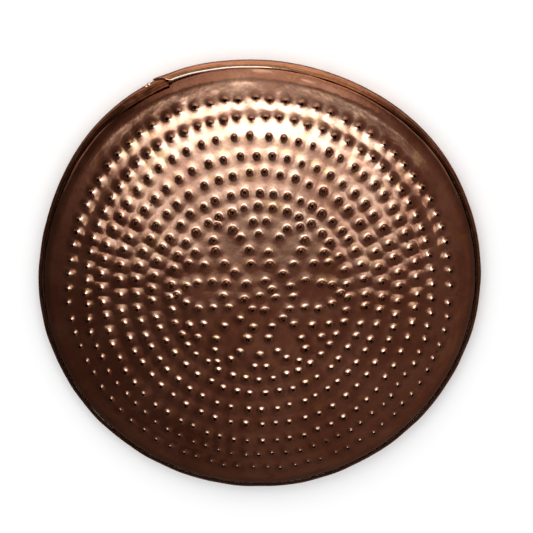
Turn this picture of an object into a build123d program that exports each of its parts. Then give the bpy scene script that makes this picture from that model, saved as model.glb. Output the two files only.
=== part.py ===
from build123d import *
import math
import os

# A shallow copper kettledrum with a fixed skin head, lying on its counterhoop with the bowl up.
# Millimetres. +Z runs up the drum's axis, and the origin is the centre of the circle it rests on.

# Overall
OUTER_R = 254.0
KETTLE_SHEET = 1.2
HOOP_SHEET = 1.2
CLEARANCE = 0.05           # between pieces that lie against each other
QUARTER = math.pi / 2

# Kettle: a spherical crown and a spherical margin, joined by a knee, and a lip down to the skirt
KETTLE_R = 250.0           # outside of the skirt
SKIRT_TOP_Z = 9.5
CROWN_ARC_R = 930.0
CROWN_EDGE_R = 184.5
MARGIN_ARC_R = 432.0
MARGIN_START_R = 191.0
MARGIN_END_R = 235.0

# Rolled edge: the skirt turns inwards round a wire, and the skin bears on it
WIRE_R = 2.0
ROLL_R = WIRE_R + KETTLE_SHEET
ROLL_CENTRE = (KETTLE_R - ROLL_R, 8.2)
ROLL_TURN = math.radians(255.0)

# Raised nipples, each pierced at its tip: six blank petals in the middle, then seven rings
NIPPLE_HALF_WIDTH = 4.8
NIPPLE_HEIGHT = 2.8
NIPPLE_BALL_R = (NIPPLE_HALF_WIDTH**2 + NIPPLE_HEIGHT**2) / (2 * NIPPLE_HEIGHT)
HOLE_R = 1.3
RINGS = ((217.0, 80), (196.5, 77), (178.5, 65), (157.5, 57), (138.0, 51), (118.5, 46), (100.5, 40))
INNER_RINGS = ((18.0, 7), (38.0, 14))
PETALS = 6
PETAL_RIM = ((53.0, 17.0), (70.0, 12.5), (82.0, 8.5))   # radius, degrees either side of the petal
PETAL_TIP_R = 92.0
WEDGE_MID_R = 71.0
WEDGE_TOP_R = 86.0
WEDGE_TOP_TURN = 5.0

# Skin head, drawn under the rolled edge and lapped round the flesh hoop
SKIN = 0.5
SKIN_TAIL_Z = 9.5
FLESH_HOOP_THICK = 1.5
FLESH_HOOP_LOW_Z = 8.05
FLESH_HOOP_HIGH_Z = 15.0
FLESH_HOOP_R = KETTLE_R + SKIN + 2 * CLEARANCE          # inside

# Counterhoop: a folded foot, a ledge that draws the flesh hoop on, and a flange bent in over the lip
HOOP_INNER_R = OUTER_R - HOOP_SHEET
LAP_R = OUTER_R + HOOP_SHEET
FOLD_TOP_Z = 8.0
LEDGE_LOW_Z = 6.8
LEDGE_R = 251.0            # inner edge of the ledge
BEND_ARC_R = 3.0
BEND_CENTRE = (OUTER_R - BEND_ARC_R, 15.7)
BEND_TURN = math.radians(45.0)
FLANGE_LENGTH = 5.0

# The counterhoop's lapped ends: angles are degrees anticlockwise from +X
LAP_END = 116.6            # free end of the riveted strip
LAP_SPAN = 6.4
LAP_LOW_Z = 1.2
LAP_HIGH_Z = 15.8
TONGUE_END = 117.4         # free end of the tongue that covers the strip's lower corner
TONGUE_SPAN = 6.0
TONGUE_HIGH_Z = 6.5
LAP_RIVETS = ((118.8, 5.2), (119.5, 12.0))              # angle, height
RIVET_R = 1.4
RIVET_HEAD_R = 2.3
RIVET_HEAD_HEIGHT = 1.2

# The flesh hoop's own joint, out of sight under the skin
FLESH_RIVET_ANGLES = (298.5, 301.5)
FLESH_RIVET_Z = 11.5
FLESH_RIVET_R = 1.2

os.makedirs("parts", exist_ok=True)


def turn_radius(start_r, end_r, start_slope, end_slope):
    """Radius of the arc that turns from one slope to another between two distances from the axis."""
    return (end_r - start_r) / (math.sin(end_slope) - math.sin(start_slope))


# Slopes where the kettle's arcs meet, and the radii of the two arcs that join them
CROWN_SLOPE = math.asin(CROWN_EDGE_R / CROWN_ARC_R)
MARGIN_SLOPE = math.asin(MARGIN_START_R / MARGIN_ARC_R)
LIP_SLOPE = math.asin(MARGIN_END_R / MARGIN_ARC_R)
KNEE_ARC_R = turn_radius(CROWN_EDGE_R, MARGIN_START_R, CROWN_SLOPE, MARGIN_SLOPE)
LIP_ARC_R = turn_radius(MARGIN_END_R, KETTLE_R, LIP_SLOPE, QUARTER)

# Centres of the arcs, as distance from the axis and height, from the lip up to the crown
LIP_CENTRE = (KETTLE_R - LIP_ARC_R, SKIRT_TOP_Z)
MARGIN_CENTRE = (0.0, SKIRT_TOP_Z + (LIP_ARC_R - MARGIN_ARC_R) * math.cos(LIP_SLOPE))
KNEE_CENTRE_R = MARGIN_START_R - KNEE_ARC_R * math.sin(MARGIN_SLOPE)
KNEE_CENTRE = (KNEE_CENTRE_R, MARGIN_CENTRE[1] + (MARGIN_ARC_R - KNEE_ARC_R) * math.cos(MARGIN_SLOPE))
CROWN_CENTRE = (0.0, KNEE_CENTRE[1] + (KNEE_ARC_R - CROWN_ARC_R) * math.cos(CROWN_SLOPE))


def point(radius, height):
    """A point in the XZ plane."""
    return Vector(radius, 0, height)


def arc(centre, radius, start_slope, end_slope):
    """Arc in the XZ plane between two outward normals, given as angles from straight up."""
    slopes = (start_slope, (start_slope + end_slope) / 2, end_slope)
    ends = [point(centre[0] + radius * math.sin(s), centre[1] + radius * math.cos(s)) for s in slopes]
    return ThreePointArc(*ends)


def ring(edges, degrees=360):
    """Turn a closed outline in the XZ plane about the drum's axis."""
    return revolve(make_face(Wire(edges)), Axis.Z, degrees)


def band(inner_r, outer_r, low_z, high_z, start=0, degrees=360):
    """A rectangular band round the axis, or a stretch of one."""
    corners = [point(inner_r, low_z), point(outer_r, low_z), point(outer_r, high_z), point(inner_r, high_z)]
    outline = Polyline(*corners, close=True).edges()
    return Location((0, 0, 0), (0, 0, start)) * ring(outline, degrees)


def sheet(outside, inside):
    """Turn a sheet about the axis, given the edges along its two faces in the same order."""
    start = Line(outside[0] @ 0, inside[0] @ 0)
    end = Line(outside[-1] @ 1, inside[-1] @ 1)
    return ring([*outside, *inside, start, end])


def kettle_side(inset):
    """The crown, knee, margin, lip, skirt and roll, a distance inside the kettle's outer surface."""
    crown = arc(CROWN_CENTRE, CROWN_ARC_R - inset, 0, CROWN_SLOPE)
    knee = arc(KNEE_CENTRE, KNEE_ARC_R - inset, CROWN_SLOPE, MARGIN_SLOPE)
    margin = arc(MARGIN_CENTRE, MARGIN_ARC_R - inset, MARGIN_SLOPE, LIP_SLOPE)
    lip = arc(LIP_CENTRE, LIP_ARC_R - inset, LIP_SLOPE, QUARTER)
    roll = arc(ROLL_CENTRE, ROLL_R - inset, QUARTER, QUARTER + ROLL_TURN)
    skirt = Line(lip @ 1, roll @ 0)
    return [crown, knee, margin, lip, skirt, roll]


def nipple_places():
    """Radius and angle in degrees of every nipple."""
    places = [(0.0, 0.0)]
    for radius, count in RINGS + INNER_RINGS:
        places += [(radius, 360 * step / count) for step in range(count)]
    for petal in range(PETALS):
        middle = 360 * petal / PETALS
        wedge = middle + 180 / PETALS
        for radius, turn in PETAL_RIM:
            places += [(radius, middle - turn), (radius, middle + turn)]
        places += [(PETAL_TIP_R, middle), (WEDGE_MID_R, wedge)]
        places += [(WEDGE_TOP_R, wedge - WEDGE_TOP_TURN), (WEDGE_TOP_R, wedge + WEDGE_TOP_TURN)]
    return places


def on_kettle(radius, angle):
    """A place on the crown or the margin, with its z axis along the outward normal."""
    on_crown = radius <= CROWN_EDGE_R
    arc_r = CROWN_ARC_R if on_crown else MARGIN_ARC_R
    centre_z = CROWN_CENTRE[1] if on_crown else MARGIN_CENTRE[1]
    slope = math.asin(radius / arc_r)
    height = centre_z + arc_r * math.cos(slope)
    return Location((0, 0, 0), (0, 0, angle)) * Location((radius, 0, height), (0, math.degrees(slope), 0))


def nipple_button():
    """The raised cap of one nipple, from the middle of the sheet up to its tip."""
    ball = Pos(0, 0, NIPPLE_HEIGHT - NIPPLE_BALL_R) * Sphere(NIPPLE_BALL_R)
    size = 4 * NIPPLE_BALL_R
    upward = (Align.CENTER, Align.CENTER, Align.MIN)
    above = Pos(0, 0, -KETTLE_SHEET / 2) * Box(size, size, size, align=upward)
    return ball & above


def nipple_punch():
    """The hollow behind one nipple and the hole through its tip."""
    hollow = Pos(0, 0, NIPPLE_HEIGHT - NIPPLE_BALL_R) * Sphere(NIPPLE_BALL_R - KETTLE_SHEET)
    return hollow + Cylinder(HOLE_R, 2 * NIPPLE_HEIGHT, align=(Align.CENTER, Align.CENTER, Align.MIN))


def kettle():
    """The copper bowl: spun sheet with its nipples punched from the inside."""
    shell = sheet(kettle_side(0), kettle_side(KETTLE_SHEET))
    button = nipple_button()
    punch = nipple_punch()
    places = [on_kettle(radius, angle) for radius, angle in nipple_places()]
    shell = shell + [place * button for place in places]
    return shell - [place * punch for place in places]


def edge_wire():
    """The iron wire that the kettle's edge is rolled round."""
    return Pos(0, 0, ROLL_CENTRE[1]) * Torus(ROLL_CENTRE[0], WIRE_R - CLEARANCE)


def drumhead():
    """The skin: a flat disc whose edge turns up beside the skirt and over the flesh hoop."""
    near = CLEARANCE
    far = CLEARANCE + SKIN
    kettle_bend = arc(ROLL_CENTRE, ROLL_R + near, 2 * QUARTER, QUARTER)
    outer_bend = arc(ROLL_CENTRE, ROLL_R + far, 2 * QUARTER, QUARTER)
    hoop_outside = FLESH_HOOP_R + FLESH_HOOP_THICK
    inner_z = FLESH_HOOP_HIGH_Z + near
    outer_z = FLESH_HOOP_HIGH_Z + far
    kettle_face = [
        kettle_bend @ 1,
        point(KETTLE_R + near, outer_z),
        point(hoop_outside + far, outer_z),
        point(hoop_outside + far, SKIN_TAIL_Z),
        point(hoop_outside + near, SKIN_TAIL_Z),
        point(hoop_outside + near, inner_z),
        point(KETTLE_R + far, inner_z),
        outer_bend @ 1,
    ]
    lap = Polyline(*kettle_face).edges()
    top = Line(point(0, (kettle_bend @ 0).Z), kettle_bend @ 0)
    bottom = Line(point(0, (outer_bend @ 0).Z), outer_bend @ 0)
    axis = Line(top @ 0, bottom @ 0)
    return ring([axis, top, kettle_bend, *lap, outer_bend, bottom])


def radial_rod(radius, length, inner_r, angle, height):
    """A rod pointing away from the axis, starting at a distance from it."""
    rod = Cylinder(radius, length, align=(Align.CENTER, Align.CENTER, Align.MIN))
    return Location((0, 0, height), (0, 0, angle)) * Location((inner_r, 0, 0), (0, 90, 0)) * rod


def flesh_rivets(radius):
    """The stems of the flesh hoop's rivets, as long as the hoop is thick."""
    size = (radius, FLESH_HOOP_THICK, FLESH_HOOP_R)
    return [radial_rod(*size, angle, FLESH_RIVET_Z) for angle in FLESH_RIVET_ANGLES]


def flesh_hoop():
    """The iron hoop that the skin's edge is lapped round."""
    hoop = band(FLESH_HOOP_R, FLESH_HOOP_R + FLESH_HOOP_THICK, FLESH_HOOP_LOW_Z, FLESH_HOOP_HIGH_Z)
    return hoop - flesh_rivets(FLESH_RIVET_R)


def flesh_hoop_rivets():
    """Two flush rivets that close the flesh hoop."""
    return Compound(flesh_rivets(FLESH_RIVET_R - CLEARANCE))


def lap_stems(radius):
    """The stems of the lap's rivets, through both layers of the counterhoop."""
    return [radial_rod(radius, 2 * HOOP_SHEET, HOOP_INNER_R, angle, height) for angle, height in LAP_RIVETS]


def hoop_side(inset):
    """The band, bend and flange, a distance inside the counterhoop's outer surface."""
    wall = Line(point(OUTER_R - inset, 0), point(OUTER_R - inset, BEND_CENTRE[1]))
    bend = arc(BEND_CENTRE, BEND_ARC_R - inset, QUARTER, QUARTER - BEND_TURN)
    reach = point(-FLANGE_LENGTH * math.sin(BEND_TURN), FLANGE_LENGTH * math.cos(BEND_TURN))
    return [wall, bend, Line(bend @ 1, bend @ 1 + reach)]


def counterhoop():
    """The copper hoop that draws the head on: folded foot, ledge, flange and lapped ends."""
    hoop = sheet(hoop_side(0), hoop_side(HOOP_SHEET))
    hoop += band(HOOP_INNER_R - HOOP_SHEET, HOOP_INNER_R, 0, FOLD_TOP_Z)
    hoop += band(LEDGE_R, HOOP_INNER_R - HOOP_SHEET, LEDGE_LOW_Z, FOLD_TOP_Z)
    hoop += band(OUTER_R, LAP_R, LAP_LOW_Z, LAP_HIGH_Z, LAP_END, LAP_SPAN)
    hoop += band(OUTER_R, LAP_R, 0, TONGUE_HIGH_Z, TONGUE_END - TONGUE_SPAN, TONGUE_SPAN)
    return hoop - lap_stems(RIVET_R)


def lap_rivets():
    """Two round-headed rivets, hammered flush on the inside."""
    ball_r = (RIVET_HEAD_R**2 + RIVET_HEAD_HEIGHT**2) / (2 * RIVET_HEAD_HEIGHT)
    above = Box(2 * ball_r, 2 * ball_r, 2 * ball_r, align=(Align.CENTER, Align.CENTER, Align.MIN))
    head = above & Pos(0, 0, RIVET_HEAD_HEIGHT - ball_r) * Sphere(ball_r)
    rivets = []
    for stem, (angle, height) in zip(lap_stems(RIVET_R - CLEARANCE), LAP_RIVETS):
        outside = Location((0, 0, height), (0, 0, angle)) * Location((LAP_R, 0, 0), (0, 90, 0))
        rivets.append(stem + outside * head)
    return Compound(rivets)


PIECES = (kettle, edge_wire, drumhead, flesh_hoop, flesh_hoop_rivets, counterhoop, lap_rivets)

if __name__ == "__main__":
    for piece in PIECES:
        export_step(piece(), f"parts/{piece.__name__}.step")
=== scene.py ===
"""Looks of the copper kettledrum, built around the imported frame. Metres, +Z up, bowl up."""

import math
import random

import bpy
import numpy as np
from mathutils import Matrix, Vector
from mathutils.geometry import delaunay_2d_cdt


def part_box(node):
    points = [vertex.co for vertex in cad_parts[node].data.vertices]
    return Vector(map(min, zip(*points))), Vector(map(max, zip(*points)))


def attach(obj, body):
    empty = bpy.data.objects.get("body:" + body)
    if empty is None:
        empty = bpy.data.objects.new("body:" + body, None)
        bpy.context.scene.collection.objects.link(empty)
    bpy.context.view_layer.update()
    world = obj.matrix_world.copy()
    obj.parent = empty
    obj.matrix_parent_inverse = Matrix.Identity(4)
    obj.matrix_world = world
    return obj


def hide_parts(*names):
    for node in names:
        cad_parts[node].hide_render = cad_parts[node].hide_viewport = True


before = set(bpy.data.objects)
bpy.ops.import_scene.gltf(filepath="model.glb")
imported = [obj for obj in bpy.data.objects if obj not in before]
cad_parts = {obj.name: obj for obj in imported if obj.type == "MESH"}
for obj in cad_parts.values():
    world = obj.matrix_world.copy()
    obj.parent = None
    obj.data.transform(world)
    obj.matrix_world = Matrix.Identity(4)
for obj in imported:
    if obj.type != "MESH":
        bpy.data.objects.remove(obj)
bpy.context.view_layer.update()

MM = 0.001
FULL_TURN = 2 * math.pi
QUARTER = math.pi / 2
random.seed(20)

# Sizes read from the frame
hoop_low, hoop_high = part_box("counterhoop")
kettle_low, kettle_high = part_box("kettle")
wire_low, wire_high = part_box("edge_wire")
flesh_low, flesh_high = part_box("flesh_hoop")
OUTER_R = (hoop_high.y - hoop_low.y) / 2
KETTLE_R = kettle_high.x
WIRE_Z = (wire_low.z + wire_high.z) / 2
WIRE_R = (wire_high.z - wire_low.z) / 2

# Sheet
KETTLE_SHEET = 1.2 * MM
HOOP_SHEET = 1.2 * MM
ROLL_R = WIRE_Z - kettle_low.z
ROLL_TURN = math.radians(255.0)

# Kettle profile: the slopes of two spheres, blended across the knee, and then the lip's arc
CROWN_ARC_R = 930 * MM
MARGIN_ARC_R = 432 * MM
KNEE_START_R = 170 * MM
KNEE_END_R = 205 * MM
MARGIN_END_R = 235 * MM
SKIRT_TOP_Z = 9.5 * MM
UNEVEN_END = (0.235, 0.262)     # lengths along the sheet over which nipples and unevenness die away

# Nipples
HOLE_R = 1.55 * MM
NIPPLE_REACH = (2.75 * MM, 2.1 * MM)   # from the hole's edge to the flank's foot, at the crown and the margin
NIPPLE_SLOPE = 0.86         # fall of the flank for each step outwards
FOOT_BEND = (0.6 * MM, 0.95 * MM)     # how softly the flank bends into its mound, at the crown and the margin
MOUND_REACH = 10.5 * MM     # from the hole's middle to where the mound ends
MOUND_SLOPE = (0.1, 0.19)   # at the crown, and out towards the left and right margins
MOUND_BEND = 1.0 * MM
VALLEY = 0.07 * MM          # how far neighbouring mounds are blended where they meet
SUNK = 0.5 * MM             # the sheet between the mounds lies lower than the plain bowl
# Rings of nipples, as (radius in mm, count, direction of the first in degrees)
RINGS = ((217, 80, 1), (196.5, 77, 3), (178.5, 65, 0), (157.5, 57, 4), (138, 51, 2), (118.5, 46, 6),
         (100.5, 40, 0))
INNER_RINGS = ((18, 7, 32), (38, 14, 0))
PETALS = 6
# Round each petal, as (radius in mm, degrees to each side of the petal's middle)
PETAL_RIM = ((53, 17.0), (70, 12.5), (82, 8.5))
PETAL_TIP_R = 92
WEDGE_MID_R = 71
WEDGE_TOP_R = 86
WEDGE_TOP_TURN = 5.0

# The rim isn't quite round. It bulges by the lap and is flattened elsewhere:
# (direction in degrees, reach to each side in degrees, share of the radius, outwards)
RIM_BENDS = ((125, 35, 0.012), (70, 40, -0.015), (165, 30, -0.008), (-40, 50, -0.008))

# The counterhoop's lapped ends, in degrees anticlockwise from +X
LAP_TOP_END = 117.4
LAP_HIDDEN_END = 111.0
LAP_FLANGE_END = 113.4      # where the flange of the lower end stops, under the top end
LAP_RIVETS = ((118.8, 5.2 * MM), (119.5, 12.0 * MM))    # direction and height
FLANGE_LEAN = math.radians(45)
EDGE_TURNED_IN = math.radians(27)       # the flange's last steps, bent further in


def smooth(value, low, high):
    """0 below low, 1 above high, with an even curve between."""
    t = np.clip((value - low) / (high - low), 0, 1)
    return t * t * (3 - 2 * t)


def out_of_round(points):
    """Move points in or out from the axis, as the rim was bent, more towards the rim."""
    x, y = points[:, 0], points[:, 1]
    radius = np.hypot(x, y)
    angle = np.arctan2(y, x)
    wave = np.zeros(len(points))
    for direction, reach, share in RIM_BENDS:
        off = np.abs(np.angle(np.exp(1j * (angle - math.radians(direction)))))
        wave += share * (1 - smooth(off, 0, math.radians(reach)))
    factor = 1 + wave * np.clip(radius / KETTLE_R, 0, 1) ** 3
    moved = points.copy()
    moved[:, 0] *= factor
    moved[:, 1] *= factor
    return moved


def make_piece(name, points, faces, node, material, sharp=40):
    """A mesh piece from points and faces, bent as the rim is, standing for one CAD node."""
    mesh = bpy.data.meshes.new(name)
    mesh.from_pydata([tuple(p) for p in out_of_round(np.asarray(points, float))], [], faces)
    mesh.validate()
    mesh.polygons.foreach_set("use_smooth", [True] * len(mesh.polygons))
    mesh.set_sharp_from_angle(angle=math.radians(sharp))
    mesh.update()
    mesh.materials.append(material)
    piece = bpy.data.objects.new(name, mesh)
    bpy.context.scene.collection.objects.link(piece)
    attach(piece, "root")
    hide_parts(node)
    return piece


# ---------------------------------------------------------------- materials

class Nodes:
    """Short calls for building one node material."""

    def __init__(self, name):
        self.material = bpy.data.materials.new(name)
        self.material.use_nodes = True
        self.tree = self.material.node_tree
        self.shader = self.tree.nodes["Principled BSDF"]
        self.place = self.tree.nodes.new("ShaderNodeTexCoord").outputs["Object"]

    def node(self, kind, **inputs):
        made = self.tree.nodes.new("ShaderNode" + kind)
        for name, value in inputs.items():
            self.put(made.inputs[name.replace("_", " ")], value)
        return made

    def put(self, socket, value):
        if isinstance(value, bpy.types.NodeSocket):
            self.tree.links.new(value, socket)
        else:
            socket.default_value = value

    def noise(self, size, detail=3.0, roughness=0.55, distortion=0.0, place=None):
        """Noise with features of about a size in metres."""
        made = self.node("TexNoise", Vector=place or self.place, Scale=1 / size, Detail=detail,
                         Roughness=roughness, Distortion=distortion)
        return made.outputs["Fac"]

    def stretch(self, value, low, high, to_low=0.0, to_high=1.0):
        made = self.tree.nodes.new("ShaderNodeMapRange")
        made.interpolation_type = "SMOOTHSTEP"
        for socket, number in zip(made.inputs[:5], (value, low, high, to_low, to_high)):
            self.put(socket, number)
        return made.outputs["Result"]

    def math(self, operation, a, b=0.0):
        made = self.tree.nodes.new("ShaderNodeMath")
        made.operation = operation
        self.put(made.inputs[0], a)
        self.put(made.inputs[1], b)
        return made.outputs[0]

    def mix(self, share, a, b, blend="MIX"):
        made = self.tree.nodes.new("ShaderNodeMix")
        made.data_type = "RGBA"
        made.blend_type = blend
        self.put(made.inputs["Factor"], share)
        self.put(made.inputs[6], (*a, 1) if isinstance(a, tuple) else a)
        self.put(made.inputs[7], (*b, 1) if isinstance(b, tuple) else b)
        return made.outputs[2]

    def attribute(self, name):
        made = self.tree.nodes.new("ShaderNodeAttribute")
        made.attribute_name = name
        return made.outputs["Fac"]

    def bump(self, height, depth, strength=1.0, below=None):
        """Bump of a height map from 0 to 1 that is so deep in metres, on top of another bump."""
        made = self.node("Bump", Height=height, Distance=depth, Strength=strength)
        if below is not None:
            self.put(made.inputs["Normal"], below)
        return made.outputs["Normal"]

    def finish(self, color, roughness, normal, metallic=0.0, **fixed):
        self.put(self.shader.inputs["Base Color"], color)
        self.put(self.shader.inputs["Roughness"], roughness)
        self.put(self.shader.inputs["Normal"], normal)
        self.shader.inputs["Metallic"].default_value = metallic
        for name, value in fixed.items():
            self.shader.inputs[name.replace("_", " ")].default_value = value
        return self.material


def kettle_copper():
    """Dark aged copper with cloudy brown patches; rubbed nipple flanks, also lightened as painted light;
    painted shade at the holes' edges, the nipples' feet, the lip and the inside face.
    """
    n = Nodes("kettle_copper")
    cloud = n.noise(60 * MM, 4.0, 0.6, 0.6)
    patch = n.noise(22 * MM, 5.0, 0.62, 1.2)
    speck = n.noise(2.4 * MM, 3.0, 0.6)
    streak = n.noise(9 * MM, 4.0, 0.7, 2.5)
    color = n.mix(n.stretch(cloud, 0.35, 0.65), (0.34, 0.14, 0.082), (0.46, 0.235, 0.155))
    color = n.mix(n.stretch(patch, 0.54, 0.7, 0.0, 0.75), color, (0.45, 0.225, 0.085))
    color = n.mix(n.stretch(patch, 0.46, 0.28, 0.0, 0.7), color, (0.31, 0.115, 0.073))
    color = n.mix(n.math("MULTIPLY", n.stretch(speck, 0.52, 0.7), 0.4), color, (0.20, 0.085, 0.052))
    # Lighter copper on the nipple flanks round each hole: rubbed wear on the raised tips, and also painted
    # light that brightens the flanks.
    wear_and_highlight = n.attribute("wear_and_highlight")
    color = n.mix(n.math("MULTIPLY", wear_and_highlight, 0.4), color, (0.66, 0.39, 0.27))
    # Painted shade: near-black at the holes' edges, a ring at each nipple's foot, the lip where it runs under
    # the counterhoop, and the whole inside face.
    painted_shade = n.attribute("painted_shade")
    shade_amount = n.math("MULTIPLY", painted_shade, n.stretch(streak, 0.3, 0.6, 0.45, 0.85))
    color = n.mix(shade_amount, color, (0.085, 0.036, 0.022))
    bare = n.attribute("bare")
    color = n.mix(n.math("MULTIPLY", bare, 0.7), color, (0.85, 0.52, 0.38))
    roughness = n.stretch(patch, 0.3, 0.7, 0.07, 0.14)
    roughness = n.math("ADD", roughness, n.math("MULTIPLY", painted_shade, 0.15))
    dents = n.bump(n.noise(14 * MM, 2.0, 0.5), 0.9 * MM, 0.6)
    normal = n.bump(n.noise(1.1 * MM, 4.0, 0.65), 0.06 * MM, 0.5, dents)
    return n.finish(color, roughness, normal, metallic=1.0, Coat_Weight=0.6, Coat_Roughness=0.1)


def hoop_copper():
    """Dark patina with streaks drawn along the strip, rubbed orange along the foot, an orange painted
    highlight on the flange's tip and outer bend on the +Y side, and painted shade on the flange's tip and
    inner faces elsewhere.
    """
    n = Nodes("hoop_copper")
    patch = n.noise(16 * MM, 5.0, 0.62, 1.5)
    speck = n.noise(1.6 * MM, 3.0, 0.6)
    drawn = n.node("CombineXYZ", X=n.attribute("along"), Y=n.attribute("across"))
    streak = n.noise(1.0, 4.0, 0.6, 0.4, drawn.outputs[0])
    color = n.mix(n.stretch(patch, 0.4, 0.62), (0.30, 0.12, 0.06), (0.40, 0.18, 0.09))
    color = n.mix(n.stretch(streak, 0.5, 0.66, 0.0, 0.8), color, (0.62, 0.33, 0.2))
    color = n.mix(n.stretch(streak, 0.45, 0.3, 0.0, 0.8), color, (0.12, 0.05, 0.03))
    color = n.mix(n.math("MULTIPLY", n.stretch(speck, 0.5, 0.7), 0.5), color, (0.17, 0.07, 0.04))
    # Orange: rubbed wear along the foot, and a painted highlight on the flange's tip and outer bend on the +Y
    # side.
    color = n.mix(n.math("MULTIPLY", n.attribute("wear_and_highlight"), 0.75), color, (0.86, 0.42, 0.2))
    # Painted shade on the flange's tip and inner faces, except on the +Y side.
    color = n.mix(n.attribute("painted_shade"), color, (0.05, 0.023, 0.015))
    color = n.mix(n.attribute("bare"), color, (0.17, 0.14, 0.13))
    roughness = n.stretch(patch, 0.3, 0.7, 0.16, 0.28)
    dents = n.bump(n.noise(11 * MM, 2.0, 0.5), 0.7 * MM, 0.6)
    normal = n.bump(n.noise(0.9 * MM, 4.0, 0.65), 0.06 * MM, 0.6, dents)
    return n.finish(color, roughness, normal, metallic=1.0)


def rivet_copper():
    n = Nodes("rivet_copper")
    rub = n.noise(1.5 * MM, 4.0, 0.6)
    color = n.mix(n.stretch(rub, 0.4, 0.6), (0.5, 0.26, 0.16), (0.83, 0.56, 0.42))
    normal = n.bump(n.noise(1.0 * MM, 3.0), 0.1 * MM, 0.7)
    return n.finish(color, n.stretch(rub, 0.3, 0.7, 0.16, 0.3), normal, metallic=1.0)


def iron():
    n = Nodes("iron")
    rust = n.noise(6 * MM, 6.0, 0.7, 1.0)
    color = n.mix(n.stretch(rust, 0.45, 0.65), (0.11, 0.1, 0.095), (0.16, 0.075, 0.04))
    normal = n.bump(n.noise(0.8 * MM, 5.0, 0.7), 0.12 * MM, 0.8)
    return n.finish(color, n.stretch(rust, 0.4, 0.7, 0.42, 0.75), normal, metallic=0.8)


def skin():
    """Calfskin: cream, with cloudy translucent areas, fine veins and pores."""
    n = Nodes("skin")
    cloud = n.noise(70 * MM, 5.0, 0.6, 1.5)
    vein = n.noise(28 * MM, 6.0, 0.7, 4.0)
    pore = n.noise(1.3 * MM, 3.0, 0.6)
    color = n.mix(n.stretch(cloud, 0.35, 0.65), (0.74, 0.61, 0.42), (0.86, 0.78, 0.62))
    color = n.mix(n.math("MULTIPLY", n.stretch(vein, 0.56, 0.66), 0.5), color, (0.6, 0.43, 0.26))
    color = n.mix(n.math("MULTIPLY", n.stretch(pore, 0.55, 0.7), 0.3), color, (0.6, 0.47, 0.32))
    ripple = n.bump(n.noise(25 * MM, 3.0), 0.5 * MM, 0.5)
    normal = n.bump(pore, 0.08 * MM, 0.6, ripple)
    return n.finish(color, n.stretch(cloud, 0.3, 0.7, 0.42, 0.58), normal, Sheen_Weight=0.15)


# ------------------------------------------------------------------- kettle

def kettle_profile():
    """Arc length, distance from the axis, height and slope along the kettle's outside, from the apex."""
    step = 0.1 * MM
    radius = np.arange(0, MARGIN_END_R + step / 2, step)
    knee = smooth(radius, KNEE_START_R, KNEE_END_R)
    slope = (1 - knee) * np.arcsin(radius / CROWN_ARC_R) + knee * np.arcsin(radius / MARGIN_ARC_R)
    length = np.concatenate(([0], np.cumsum(step / np.cos((slope[1:] + slope[:-1]) / 2))))
    fall = np.concatenate(([0], np.cumsum(step * np.tan((slope[1:] + slope[:-1]) / 2))))
    lip_arc_r = (KETTLE_R - MARGIN_END_R) / (1 - math.sin(slope[-1]))
    height = SKIRT_TOP_Z + lip_arc_r * math.cos(slope[-1]) + fall[-1] - fall
    stations = [length, radius, height, slope]
    lip_slope = np.linspace(slope[-1], QUARTER, 400)[1:]
    lip = (lip_arc_r * (lip_slope - slope[-1]), KETTLE_R - lip_arc_r * (1 - np.sin(lip_slope)),
           SKIRT_TOP_Z + lip_arc_r * np.cos(lip_slope), lip_slope)
    skirt_length = SKIRT_TOP_Z - WIRE_Z
    skirt = (np.array([skirt_length]), np.array([KETTLE_R]), np.array([WIRE_Z]), np.array([QUARTER]))
    roll_slope = np.linspace(QUARTER, QUARTER + ROLL_TURN, 300)[1:]
    roll = (ROLL_R * (roll_slope - QUARTER), KETTLE_R - ROLL_R * (1 - np.sin(roll_slope)),
            WIRE_Z + ROLL_R * np.cos(roll_slope), roll_slope)
    for part in (lip, skirt, roll):
        part = (part[0] + stations[0][-1],) + part[1:]
        stations = [np.concatenate((old, new)) for old, new in zip(stations, part)]
    return stations


PROFILE = kettle_profile()
BLANK_R = PROFILE[0][-1]


def blank_radius(radius):
    """Distance from the middle of the flat blank to a place at a distance from the kettle's axis."""
    flat = PROFILE[1] <= MARGIN_END_R
    return np.interp(radius, PROFILE[1][flat], PROFILE[0][flat])


class Nipple:
    def __init__(self, radius, angle):
        spread = random.gauss
        radius = radius * MM + spread(0, 0.75 * MM)
        angle = math.radians(angle)
        blank_r = float(blank_radius(max(radius, 0)))
        self.x = blank_r * math.cos(angle)
        self.y = blank_r * math.sin(angle)
        self.slope = NIPPLE_SLOPE * min(max(spread(1, 0.1), 0.75), 1.25)
        reach = float(np.interp(radius, (90 * MM, 200 * MM), NIPPLE_REACH))
        self.reach = reach * min(max(spread(1, 0.1), 0.8), 1.2)
        self.bend = float(np.interp(radius, (90 * MM, 200 * MM), FOOT_BEND))
        self.mound = float(np.interp(abs(radius * math.cos(angle)), (60 * MM, 150 * MM), MOUND_SLOPE))
        self.hole = HOLE_R * min(max(spread(1, 0.13), 0.7), 1.35)


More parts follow.
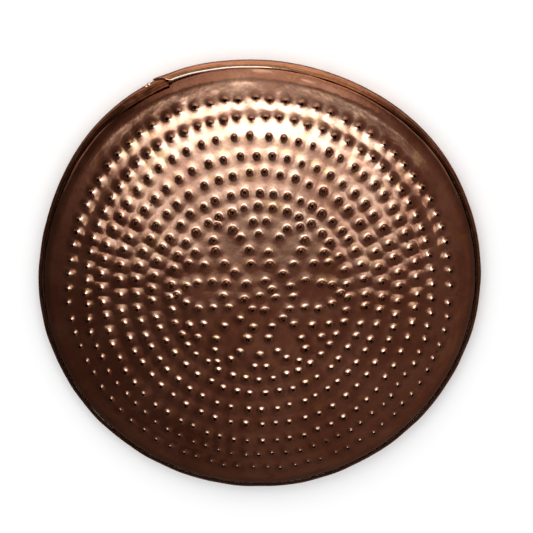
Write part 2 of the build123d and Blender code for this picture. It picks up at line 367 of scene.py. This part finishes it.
def place_nipples():
    """The rosette and the rings, each set out by eye, so their spacing wanders."""
    nipples = [Nipple(0, 0)]
    for radius, count, start in RINGS + INNER_RINGS:
        waves = [(k, random.uniform(0.1, 0.4) / k, random.uniform(0, FULL_TURN)) for k in (1, 2, 3, 5)]
        for step in range(count):
            turn = step / count
            drift = sum(a * math.sin(k * FULL_TURN * turn + p) for k, a, p in waves)
            wobble = drift + random.gauss(0, 0.06)
            wander = 0.9 * math.sin(2 * FULL_TURN * turn + waves[0][2])
            nipples.append(Nipple(radius + wander, start + 360 * (step + wobble) / count))
    for petal in range(PETALS):
        middle = 360 * petal / PETALS
        wedge = middle + 180 / PETALS
        places = [(radius, middle + side * turn) for radius, turn in PETAL_RIM for side in (-1, 1)]
        places += [(PETAL_TIP_R, middle), (WEDGE_MID_R, wedge)]
        places += [(WEDGE_TOP_R, wedge - WEDGE_TOP_TURN), (WEDGE_TOP_R, wedge + WEDGE_TOP_TURN)]
        nipples += [Nipple(radius, angle + random.gauss(0, 0.8)) for radius, angle in places]
    return nipples


NIPPLES = place_nipples()
NIPPLE_XY = np.array([(n.x, n.y) for n in NIPPLES])
NIPPLE_SLOPES = np.array([n.slope for n in NIPPLES])
NIPPLE_REACHES = np.array([n.reach for n in NIPPLES])
NIPPLE_BENDS = np.array([n.bend for n in NIPPLES])
MOUND_SLOPES = np.array([n.mound for n in NIPPLES])
HOLE_RADII = np.array([n.hole for n in NIPPLES])


CHUNK = 4000        # points measured at a time against every nipple


def bent(rise, bend):
    """0 below 0 and the same rise above it, with a bend so wide between the two."""
    return bend * np.log1p(np.exp(np.clip(rise / bend, -60, 60)))


def raised(blank):
    """How far the nipples push the sheet out at points of the blank, and the way to the nearest hole."""
    push = np.zeros(len(blank))
    nearest = np.zeros(len(blank))
    for start in range(0, len(blank), CHUNK):
        part = blank[start:start + CHUNK]
        away = np.hypot(part[:, None, 0] - NIPPLE_XY[None, :, 0], part[:, None, 1] - NIPPLE_XY[None, :, 1])
        clear = away - HOLE_RADII
        flank = NIPPLE_SLOPES * bent(NIPPLE_REACHES - clear, NIPPLE_BENDS)
        mound = MOUND_SLOPES * bent(MOUND_REACH - away, MOUND_BEND)
        joined = VALLEY * np.log1p(np.expm1((flank + mound) / VALLEY).sum(axis=1))
        push[start:start + CHUNK] = joined - SUNK
        nearest[start:start + CHUNK] = clear.min(axis=1)
    return push, nearest


def hammered(blank):
    """Shallow unevenness of hand-raised sheet."""
    uneven = np.zeros(len(blank))
    waves = np.random.default_rng(7)
    for size, depth, count in ((150 * MM, 0.5 * MM, 8), (60 * MM, 0.22 * MM, 14), (26 * MM, 0.07 * MM, 24)):
        for _ in range(count):
            turn, phase = waves.uniform(0, FULL_TURN, 2)
            length = size * waves.uniform(0.7, 1.3)
            along = blank[:, 0] * math.cos(turn) + blank[:, 1] * math.sin(turn)
            uneven += depth * np.sin(FULL_TURN * along / length + phase) / math.sqrt(count)
    return uneven * (1 - smooth(np.hypot(blank[:, 0], blank[:, 1]), *UNEVEN_END))


def on_sheet(blank, inset):
    """Points of the kettle for points of the flat blank, a distance inside its outer surface."""
    length = np.hypot(blank[:, 0], blank[:, 1])
    angle = np.arctan2(blank[:, 1], blank[:, 0])
    radius, height, slope = (np.interp(length, PROFILE[0], values) for values in PROFILE[1:])
    push, nearest = raised(blank)
    settle = 1 - smooth(length, *UNEVEN_END)
    out = push * settle + hammered(blank) - inset
    reach = radius + out * np.sin(slope)
    points = np.stack((reach * np.cos(angle), reach * np.sin(angle), height + out * np.cos(slope)), axis=1)
    return points, nearest, length


def circle(x, y, radius, count, start=0.0):
    turns = [start + FULL_TURN * k / count for k in range(count)]
    return [(x + radius * math.cos(t), y + radius * math.sin(t)) for t in turns]


RIM_COUNT = 300     # points round the rim
HOLE_COUNT = 10     # points round a hole
ROW_HEIGHT = 0.866  # height of a row of even-sided triangles, as a share of their side


def flat_blank(nipple_rings, filler, rim_rows):
    """Points of one face of the blank: the holes' edges first, then round the nipples, filler and rim."""
    points = []
    for nipple in NIPPLES:
        shape = random.Random(int(nipple.x * 1e7))
        for x, y in circle(nipple.x, nipple.y, nipple.hole, HOLE_COUNT):
            ragged = shape.uniform(0.88, 1.1)
            points.append((nipple.x + (x - nipple.x) * ragged, nipple.y + (y - nipple.y) * ragged))
    edge = circle(0, 0, BLANK_R, RIM_COUNT)
    points += edge
    for length in rim_rows:
        points += circle(0, 0, length, RIM_COUNT)
    for nipple in NIPPLES:
        for outside_hole, count in nipple_rings:
            points += circle(nipple.x, nipple.y, nipple.hole + outside_hole * MM, count, count)
    limit = rim_rows[0] - 0.5 * filler
    rows = int(limit / (filler * ROW_HEIGHT)) + 1
    grid = []
    for row in range(-rows, rows + 1):
        for column in range(-rows, rows + 1):
            x = (column + 0.5 * (row % 2)) * filler
            y = row * filler * ROW_HEIGHT
            if math.hypot(x, y) < limit:
                grid.append((x + random.gauss(0, filler * 0.08), y + random.gauss(0, filler * 0.08)))
    grid = np.array(grid)
    clear = HOLE_R + nipple_rings[-1][0] * MM + 0.3 * filler
    keep = [np.hypot(NIPPLE_XY[:, 0] - x, NIPPLE_XY[:, 1] - y).min() > clear for x, y in grid]
    points += [tuple(p) for p in grid[keep]]
    return points


def triangles(points):
    """Triangles over the blank, with the holes left open, all turning the same way."""
    scaled = [Vector((x / MM, y / MM)) for x, y in points]
    corners, _, faces, origins, _, _ = delaunay_2d_cdt(scaled, [], [], 0, 1e-5)
    source = [origin[0] for origin in origins]
    kept = []
    holes = len(NIPPLES) * HOLE_COUNT
    for face in faces:
        a, b, c = (source[corner] for corner in face)
        if max(a, b, c) < holes and a // HOLE_COUNT == b // HOLE_COUNT == c // HOLE_COUNT:
            continue
        (ax, ay), (bx, by), (cx, cy) = points[a], points[b], points[c]
        if (bx - ax) * (cy - ay) < (by - ay) * (cx - ax):
            b, c = c, b
        kept.append((a, b, c))
    return kept


def build_kettle(material):
    """The whole sheet, both faces, with its holes, lip, skirt and rolled edge."""
    lip_start = float(blank_radius(MARGIN_END_R))
    roll_length = ROLL_R * ROLL_TURN
    skirt_end = BLANK_R - roll_length
    fine_rows = list(np.linspace(lip_start, skirt_end, 14)) + list(np.linspace(skirt_end, BLANK_R, 13)[1:-1])
    coarse_rows = list(np.linspace(lip_start, skirt_end, 7)) + list(np.linspace(skirt_end, BLANK_R, 9)[1:-1])
    fine = ((0.7, 10), (1.6, 12), (2.2, 14), (2.7, 16), (3.3, 14), (4.6, 12))
    coarse = ((2.2, 8),)
    outside = flat_blank(fine, 2.35 * MM, fine_rows)
    inside = flat_blank(coarse, 8 * MM, coarse_rows)
    faces = triangles(outside)
    shift = len(outside)
    faces += [(a + shift, c + shift, b + shift) for a, b, c in triangles(inside)]
    for first in range(0, len(NIPPLES) * HOLE_COUNT, HOLE_COUNT):
        for k in range(HOLE_COUNT):
            a, b = first + k, first + (k + 1) % HOLE_COUNT
            faces.append((a, a + shift, b + shift, b))
    first = len(NIPPLES) * HOLE_COUNT
    for k in range(RIM_COUNT):
        a, b = first + k, first + (k + 1) % RIM_COUNT
        faces.append((b, b + shift, a + shift, a))
    outer, nearest, length = on_sheet(np.array(outside), 0)
    inner = on_sheet(np.array(inside), KETTLE_SHEET)[0]
    piece = make_piece("kettle_copper_bowl", np.concatenate((outer, inner)), faces,
                       "kettle", material, sharp=55)
    blank = np.array(outside)
    shade_smooth(piece, blank)
    lip_end = BLANK_R - roll_length - (SKIRT_TOP_Z - WIRE_Z)
    # Rubbed wear on the nipple flanks, also used as painted light that lightens them.
    wear_and_highlight = smooth(nearest, 2.8 * MM, 1.6 * MM) * smooth(nearest, 0.1 * MM, 0.5 * MM)
    # Painted shade: darkest at the holes' edges, a ring at each nipple's foot, and the lip, skirt and roll
    # under the counterhoop; the inside face is filled full.
    painted_shade = 0.5 * np.exp(-np.maximum(nearest, 0) / (0.6 * MM))
    painted_shade += 0.25 * np.exp(-((nearest - 4 * MM) / (2 * MM)) ** 2)
    painted_shade += 0.6 * smooth(length, lip_end - 20 * MM, lip_end - 6 * MM)
    paint(piece, "wear_and_highlight", wear_and_highlight, len(inner))
    paint(piece, "painted_shade", np.clip(painted_shade, 0, 1), len(inner), 1.0)
    paint(piece, "bare", bare_marks(blank, length), len(inner))


def shade_smooth(piece, blank):
    """Shade the outer face by the true slope of the sheet, so that its highlights run clean."""
    step = 0.02 * MM
    shifts = ((0, 0), (step, 0), (0, step))
    here, east, north = (out_of_round(on_sheet(blank + shift, 0)[0]) for shift in shifts)
    normals = np.cross(east - here, north - here)
    normals /= np.linalg.norm(normals, axis=1)[:, None]
    mesh = piece.data
    corners = np.empty(len(mesh.loops), np.int64)
    mesh.loops.foreach_get("vertex_index", corners)
    sizes = np.empty(len(mesh.polygons), np.int64)
    mesh.polygons.foreach_get("loop_total", sizes)
    starts = np.concatenate(([0], np.cumsum(sizes)[:-1]))
    farthest = np.repeat(np.maximum.reduceat(corners, starts), sizes)
    shaded = np.zeros((len(corners), 3))
    outer = farthest < len(blank)
    shaded[outer] = normals[corners[outer]]
    mesh.normals_split_custom_set([tuple(normal) for normal in shaded])


def paint(piece, name, values, rest, fill=0.0):
    """Store one number for each point of the outer face, and a fixed one for the rest."""
    attribute = piece.data.attributes.new(name, "FLOAT", "POINT")
    attribute.data.foreach_set("value", np.concatenate((values, np.full(rest, fill))).astype(np.float32))


# Places on the margin where the patina is rubbed or chipped through:
# angle in degrees, distance from the axis, length round the rim and width
BARE_PLACES = ((89.5, 246 * MM, 22 * MM, 3.5 * MM), (77, 243 * MM, 15 * MM, 1.2 * MM))


def bare_marks(blank, length):
    angle = np.arctan2(blank[:, 1], blank[:, 0])
    radius = np.interp(length, PROFILE[0], PROFILE[1])
    marks = np.zeros(len(blank))
    for degrees, place_r, long, wide in BARE_PLACES:
        along = (angle - math.radians(degrees)) * place_r
        across = radius - place_r
        marks = np.maximum(marks, 1 - smooth(np.hypot(2 * along / long, 2 * across / wide), 0.6, 1.2))
    return marks


# -------------------------------------------------------------- round pieces

def turned(name, outline, segments, node, material, sharp=40):
    """A closed outline of (distance, height) turned about the axis. It may start and end on the axis."""
    points, rings, faces = [], [], []
    for radius, height in outline:
        if radius < 1e-6:
            rings.append([len(points)] * segments)
            points.append((0, 0, height))
            continue
        rings.append(list(range(len(points), len(points) + segments)))
        points += [(radius * math.cos(FULL_TURN * k / segments), radius * math.sin(FULL_TURN * k / segments),
                    height) for k in range(segments)]
    for a, b in zip(rings, rings[1:] + rings[:1]):
        for k in range(segments):
            corners = [a[k], a[(k + 1) % segments], b[(k + 1) % segments], b[k]]
            unique = list(dict.fromkeys(corners))
            if len(unique) > 2:
                faces.append(tuple(unique))
    return make_piece(name, points, faces, node, material, sharp)


def arc_points(centre, radius, start, end, count):
    """Points on an arc in the section, with slopes measured from straight up."""
    slopes = [start + (end - start) * k / count for k in range(count + 1)]
    return [(centre[0] + radius * math.sin(s), centre[1] + radius * math.cos(s)) for s in slopes]


def build_drumhead(material):
    """The skin: flat membrane, bend under the rolled edge, and lap over the flesh hoop."""
    gap, thick = 0.05 * MM, 0.5 * MM
    centre = (KETTLE_R - ROLL_R, WIRE_Z)
    near = arc_points(centre, ROLL_R + gap, math.pi, QUARTER, 10)
    far = arc_points(centre, ROLL_R + gap + thick, QUARTER, math.pi, 10)
    hoop_out = flesh_high.x
    top = flesh_high.z
    spokes = [near[0][0] * k / 12 for k in range(12)]
    upper = [(r, near[0][1]) for r in spokes]
    lower = [(r, far[-1][1]) for r in reversed(spokes)]
    tail = 9.5 * MM
    over_far = arc_points((hoop_out - 0.2 * MM, top), thick + 0.25 * MM, 0, QUARTER, 5)
    over_near = arc_points((hoop_out - 0.2 * MM, top), 0.25 * MM, QUARTER, 0, 4)
    lap = [(KETTLE_R + gap, top + thick), *over_far, (hoop_out + gap + thick, tail)]
    lap += [(hoop_out + gap, tail), *over_near, (KETTLE_R + gap + thick, top + gap)]
    outline = [*upper, *near, *lap, *far, *lower]
    head = turned("drumhead_skin", outline, 180, "drumhead", material, 60)


def section_loop(paths, name, node, material, sharp=40):
    """A solid strip through a list of closed sections, with its two ends capped."""
    count = len(paths[0])
    points = [p for path in paths for p in path]
    faces = []
    for row in range(len(paths) - 1):
        for k in range(count):
            a, b = row * count + k, row * count + (k + 1) % count
            faces.append((a, b, b + count, a + count))
    last = (len(paths) - 1) * count
    faces += [tuple(reversed(range(count))), tuple(range(last, last + count))]
    return make_piece(name, points, faces, node, material, sharp)


def rolled_flat(turn):
    """Share by which the flange's edge is bent flat, and so rubbed bare, turn degrees past the top end."""
    return float(smooth(turn, 2, 6)) * (1 - float(smooth(turn, 16, 50)))


def hoop_section(turn):
    """The counterhoop's closed section, turn degrees clockwise from its top end: (distance, height).

    The flange's edge is bent further in over the first part of the strip."""
    low_end = float(1 - smooth(turn, 0.0, 3.6))
    past_end = 360 + LAP_TOP_END - LAP_FLANGE_END
    hidden = float(smooth(turn, past_end - 0.25, past_end))
    laid = float(smooth(turn, 340, 354)) * (1 - hidden)
    lift = HOOP_SHEET * (1 - smooth(turn, 7, 22)) + 1.3 * MM * (1 - smooth(turn, 0, 6)) ** 2
    outer_r = OUTER_R + float(lift) + 0.1 * MM
    bend_z = (15.7 - 11.5 * low_end) * MM
    lean = FLANGE_LEAN * float(smooth(turn, 2.6, 5.0)) * (1 - hidden)
    flange = (5.4 - 4.6 * low_end) * (1 - 0.8 * hidden) * MM
    turned_in = rolled_flat(turn) * (1 - laid)
    faces = []
    for inset in (0, HOOP_SHEET):
        bend_r = 3 * MM
        centre = (outer_r - bend_r, bend_z)
        face = [(outer_r - inset, 1.1 * MM), (outer_r - inset, 0.5 * bend_z)]
        face += arc_points(centre, bend_r - inset, QUARTER, QUARTER - lean, 6)
        for step in range(1, 8):
            radius, height = face[-1]
            steeper = lean * (1 - 0.35 * laid * min(step / 3, 1))
            if step > 5:
                steeper += EDGE_TURNED_IN * turned_in * (lean / FLANGE_LEAN)
            length = flange * (1 + 1.15 * laid) / 7
            face.append((radius - length * math.sin(steeper), height + length * math.cos(steeper)))
        faces.append(face)
    outer, inner = faces
    rounded = ((outer[-1][0] + inner[-1][0]) / 2 - 0.4 * MM * math.sin(lean),
               (outer[-1][1] + inner[-1][1]) / 2 + 0.4 * MM * math.cos(lean))
    fold_r = outer_r - 2 * HOOP_SHEET
    ledge = float(smooth(turn, 2, 8)) * (1 - hidden)
    fold_top = (2.2 + 5.8 * ledge) * MM
    ledge_r = fold_r - 0.6 * MM * ledge
    back = [(outer_r - HOOP_SHEET, fold_top + 0.2 * MM), (ledge_r, fold_top), (ledge_r, fold_top - 1.2 * MM)]
    back += [(fold_r, fold_top - 1.3 * MM), (fold_r, 1.1 * MM)]
    bottom = [(fold_r + 0.3 * MM, 0.3 * MM), (fold_r + 1.1 * MM, 0), (outer_r - 1.1 * MM, 0),
              (outer_r - 0.3 * MM, 0.3 * MM)]
    return outer + [rounded] + inner[:1:-1] + back + bottom


def build_counterhoop(material):
    """One copper strip: its slanted top end lies on its other end, and its flange is uneven by hand."""
    last = 360 + LAP_TOP_END - LAP_HIDDEN_END
    turns = list(np.arange(0, 24, 0.4)) + list(np.arange(24, 340, 1.0))
    turns += list(np.arange(340, last, 0.4)) + [last]
    waves = [(k, random.uniform(0.2, 1.0), random.uniform(0, FULL_TURN)) for k in (7, 11, 17, 26, 41)]
    paths = []
    wear_and_highlight, painted_shade, bare, along, across = [], [], [], [], []
    for turn in turns:
        angle = math.radians(LAP_TOP_END - turn)
        dent = sum(a * math.sin(k * angle + p) for k, a, p in waves) * 0.16 * MM
        section = hoop_section(turn)
        path = []
        for index, (radius, height) in enumerate(section):
            upper = float(smooth(height, 6 * MM, 17 * MM))
            radius += dent * upper
            height += dent * 0.8 * upper
            path.append((radius * math.cos(angle), radius * math.sin(angle), height))
            # The +Y side of the hoop gets an orange painted highlight on its tip and outer bend; the foot is
            # rubbed all round.
            far_side = float(smooth(math.sin(angle), 0.7, 0.95))
            tip = 0.5 * far_side if 14 <= index <= 16 else 0
            foot = 0.6 * (1 - float(smooth(height, 0.5 * MM, 3.0 * MM)))
            bend = 0.7 * far_side if 1 <= index <= 9 else 0
            wear_and_highlight.append(max(tip, foot, bend) * random.uniform(0.4, 1))
            bare.append(0.8 * rolled_flat(turn) if 12 <= index <= 15 else 0.0)
            # Painted shade on the flange's tip and the inner faces, away from the +Y side.
            painted_shade.append(0.9 * (1 - far_side) if index >= 13 else 0.0)
            along.append(angle * OUTER_R / (30 * MM))
            across.append(index * 0.55)
        paths.append(path)
    piece = section_loop(paths, "counterhoop_strip", "counterhoop", material)
    paint(piece, "wear_and_highlight", np.array(wear_and_highlight), 0)
    paint(piece, "painted_shade", np.array(painted_shade), 0)
    paint(piece, "bare", np.array(bare), 0)
    paint(piece, "along", np.array(along), 0)
    paint(piece, "across", np.array(across), 0)


def build_lap_rivets(material):
    """Two round rivet heads, hammered a little out of true, with their stems."""
    points, faces = [], []
    segments = 20
    profile = [(1.4, -2.3), (1.4, -0.1), (2.3, 0.0), (2.35, 0.25), (2.1, 0.7), (1.55, 1.05), (0.8, 1.25),
               (0.0, 1.3)]
    for degrees, height in LAP_RIVETS:
        angle = math.radians(degrees)
        out = np.array((math.cos(angle), math.sin(angle), 0))
        side = np.array((-math.sin(angle), math.cos(angle), 0))
        up = np.array((0, 0, 1.0))
        base = out * (OUTER_R + 0.15 * MM) + up * height
        start = len(points)
        for radius, reach in profile[:-1]:
            for k in range(segments):
                t = FULL_TURN * k / segments
                wide = radius * (1 + 0.05 * math.sin(3 * t + degrees))
                points.append(base + (out * reach + side * wide * math.cos(t) + up * wide * math.sin(t)) * MM)
        points.append(base + out * profile[-1][1] * MM)
        rings = len(profile) - 1
        for ring in range(rings - 1):
            for k in range(segments):
                a, b = start + ring * segments + k, start + ring * segments + (k + 1) % segments
                faces.append((a, b, b + segments, a + segments))
        top = start + (rings - 1) * segments
        faces += [(top + k, top + (k + 1) % segments, len(points) - 1) for k in range(segments)]
        faces.append(tuple(start + k for k in reversed(range(segments))))
    return make_piece("lap_rivet_heads", points, faces, "lap_rivets", material, 60)


def build_edge_wire(material):
    centre = (KETTLE_R - ROLL_R, WIRE_Z)
    return turned("edge_wire_ring", arc_points(centre, WIRE_R, 0, FULL_TURN, 14)[:-1][::-1], 240,
                  "edge_wire", material)


def build_flesh_hoop(material):
    inner_r = flesh_high.x - 1.5 * MM
    edge = 0.25 * MM
    low, high = flesh_low.z, flesh_high.z
    outline = [(inner_r + edge, low), (flesh_high.x - edge, low), (flesh_high.x, low + edge),
               (flesh_high.x, high - edge), (flesh_high.x - edge, high), (inner_r + edge, high),
               (inner_r, high - edge), (inner_r, low + edge)]
    return turned("flesh_hoop_ring", outline[::-1], 240, "flesh_hoop", material)


# ------------------------------------------------------- floor, light, camera

def build_floor():
    size = 6.0
    mesh = bpy.data.meshes.new("floor")
    corners = [(-size, -size, 0), (size, -size, 0), (size, size, 0), (-size, size, 0)]
    mesh.from_pydata(corners, [], [(0, 1, 2, 3)])
    n = Nodes("floor_paper")
    color = n.mix(n.noise(0.4, 2.0), (0.9, 0.9, 0.9), (0.93, 0.93, 0.93))
    normal = n.bump(n.noise(2 * MM), 0.02 * MM, 0.2)
    mesh.materials.append(n.finish(color, 0.9, normal, Specular_IOR_Level=0.0))
    floor = bpy.data.objects.new("floor", mesh)
    bpy.context.scene.collection.objects.link(floor)
    floor.visible_glossy = False


class LightNodes(Nodes):
    """Sums for a light's node tree, in terms of a place."""

    def __init__(self, tree, place):
        self.tree = tree
        split = self.node("SeparateXYZ")
        self.put(split.inputs[0], place)
        self.x, self.y, self.z = split.outputs

    def hill(self, value, middle, width):
        """1 at the middle, falling away on both sides as a bell does."""
        away = self.math("DIVIDE", self.math("SUBTRACT", value, middle), width)
        return self.math("EXPONENT", self.math("MULTIPLY", self.math("MULTIPLY", away, away), -1.0))

    def product(self, *values):
        total = values[0]
        for value in values[1:]:
            total = self.math("MULTIPLY", total, value)
        return total

    def total(self, *values):
        total = values[0]
        for value in values[1:]:
            total = self.math("ADD", total, value)
        return total


PANEL_HEIGHT = 0.8
PANEL_HALF = 2.5
# Strength of the overhead panel along +Y, as (metres from the drum's axis, strength)
KEY = ((-0.4, 0.0), (-0.3, 0.01), (-0.21, 0.03), (-0.115, 0.16), (-0.023, 0.38), (0.065, 0.7), (0.15, 1.3),
       (0.27, 2.2), (0.4, 4.5), (0.55, 7.0), (0.85, 7.0), (0.95, 3.8), (1.05, 2.2), (1.15, 1.2), (1.3, 0.75),
       (1.6, 0.45), (2.0, 0.42), (2.5, 0.5))


def build_panel():
    """The overhead light as the metal sees it: white in the middle and warm at both sides."""
    mesh = bpy.data.meshes.new("overhead_panel")
    half, height = PANEL_HALF, PANEL_HEIGHT
    corners = [(-half, -half, height), (-half, half, height), (half, half, height), (half, -half, height)]
    mesh.from_pydata(corners, [], [(0, 1, 2, 3)])
    material = bpy.data.materials.new("overhead_glow")
    material.use_nodes = True
    tree = material.node_tree
    tree.nodes.remove(tree.nodes["Principled BSDF"])
    place = tree.nodes.new("ShaderNodeTexCoord").outputs["Object"]
    n = LightNodes(tree, place)
    across = n.math("ABSOLUTE", n.x)
    ramp = n.node("ValToRGB")
    elements = ramp.color_ramp.elements
    while len(elements) < len(KEY):
        elements.new(0.5)
    low, high = KEY[0][0], KEY[-1][0]
    peak = max(light for _, light in KEY)
    for element, (metres, light) in zip(elements, KEY):
        element.position = (metres - low) / (high - low)
        element.color = (light / peak, light / peak, light / peak, 1)
    n.put(ramp.inputs[0], n.math("DIVIDE", n.math("SUBTRACT", n.y, low), high - low))
    dip = n.math("SUBTRACT", 1.0, n.product(n.hill(n.x, 0.22, 0.11), n.stretch(n.y, 0.5, 0.2), 0.55))
    main = n.product(ramp.outputs[0], peak, n.hill(n.x, 0.0, 0.66), dip)
    low_glow = n.product(n.hill(n.x, 0.02, 0.25), n.hill(n.y, -0.42, 0.2), 0.09)
    shoulder = n.product(n.hill(across, 0.42, 0.19), n.hill(n.y, 0.07, 0.12), 1.3)
    side_band = n.product(n.stretch(n.y, -0.1, 0.03), n.stretch(n.y, 0.25, 0.1))
    side = n.product(n.hill(across, 0.83, 0.11), side_band, 1.3)
    base = n.total(n.stretch(n.x, -0.55, 0.25, 0.08, 0.17), n.stretch(n.y, -0.35, 0.3, 0.0, 0.06))
    strength = n.total(main, shoulder, side, base, low_glow)
    color = n.mix(n.stretch(strength, 0.14, 0.5), (1.0, 0.62, 0.5), (1.0, 1.0, 0.94))
    color = n.mix(n.stretch(strength, 0.5, 1.8), color, (1.0, 1.17, 1.22))
    color = n.mix(n.math("DIVIDE", side, strength), color, (1.0, 0.86, 0.64))
    glow = n.node("Emission")
    n.put(glow.inputs["Color"], color)
    n.put(glow.inputs["Strength"], strength)
    n.put(tree.nodes["Material Output"].inputs["Surface"], glow.outputs[0])
    mesh.materials.append(material)
    panel = bpy.data.objects.new("overhead_panel", mesh)
    bpy.context.scene.collection.objects.link(panel)
    for kind in ("camera", "diffuse", "transmission", "volume_scatter", "shadow"):
        setattr(panel, "visible_" + kind, False)


def build_world():
    """White for the eye and for the floor, and a dim warm room round the panel for the metal."""
    world = bpy.data.worlds.new("studio")
    bpy.context.scene.world = world
    world.use_nodes = True
    tree = world.node_tree
    n = LightNodes(tree, tree.nodes.new("ShaderNodeTexCoord").outputs["Generated"])
    room = n.product(n.stretch(n.z, -0.5, 0.95, 0.08, 0.21), n.stretch(n.x, -0.9, 0.9, 0.6, 1.4))
    table = n.product(n.stretch(n.y, 0.05, 0.28), n.stretch(n.z, -0.3, -0.8), 1.0)
    window = n.product(n.stretch(n.y, 0.66, 0.98), n.stretch(n.x, -0.7, 0.1, 0.45, 1.0), 0.95)
    glossy = tree.nodes.new("ShaderNodeLightPath").outputs["Is Glossy Ray"]
    strength = n.total(n.math("SUBTRACT", 1.0, glossy), n.product(glossy, n.total(room, table, window)))
    background = tree.nodes["Background"]
    n.put(background.inputs["Strength"], strength)
    room_color = n.mix(window, (1.0, 0.62, 0.48), (1.0, 0.9, 0.78))
    n.put(background.inputs["Color"], n.mix(glossy, (1.0, 1.0, 1.0), room_color))


def build_key_light():
    """A soft light that gives the drum its gentle shadow on the floor."""
    lamp = bpy.data.lights.new("key", "AREA")
    lamp.shape = "RECTANGLE"
    lamp.size = 2.2
    lamp.size_y = 1.2
    lamp.energy = 22
    light = bpy.data.objects.new("key", lamp)
    light.location = (-0.3, 1.9, 1.9)
    light.rotation_euler = (Vector((0, 0, 0.05)) - light.location).to_track_quat("-Z", "Y").to_euler()
    light.visible_glossy = False
    bpy.context.scene.collection.objects.link(light)


# The camera stands above the bowl and leans past upright towards +Y, with +Y up in the picture
CAMERA_DISTANCE = 2.5
CAMERA_LEAN = math.radians(15.9)
VIEW_WIDTH = 0.604          # width of the picture at the distance of the bowl's middle
AIM = Vector((8.2 * MM, 22 * MM, 40 * MM))


def build_camera():
    data = bpy.data.cameras.new("camera")
    data.sensor_width = 36
    data.lens = data.sensor_width * CAMERA_DISTANCE / VIEW_WIDTH
    camera = bpy.data.objects.new("camera", data)
    toward = Vector((0, math.sin(CAMERA_LEAN), math.cos(CAMERA_LEAN)))
    camera.location = AIM + toward * CAMERA_DISTANCE
    camera.rotation_euler = (-CAMERA_LEAN, 0, 0)
    bpy.context.scene.collection.objects.link(camera)
    bpy.context.scene.camera = camera


build_camera()
build_floor()
build_panel()
build_world()
build_key_light()
bpy.context.scene.view_settings.view_transform = "Standard"

iron_material = iron()
build_kettle(kettle_copper())
build_counterhoop(hoop_copper())
build_lap_rivets(rivet_copper())
build_drumhead(skin())
build_edge_wire(iron_material)
build_flesh_hoop(iron_material)
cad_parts["flesh_hoop_rivets"].data.materials.clear()
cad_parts["flesh_hoop_rivets"].data.materials.append(iron_material)
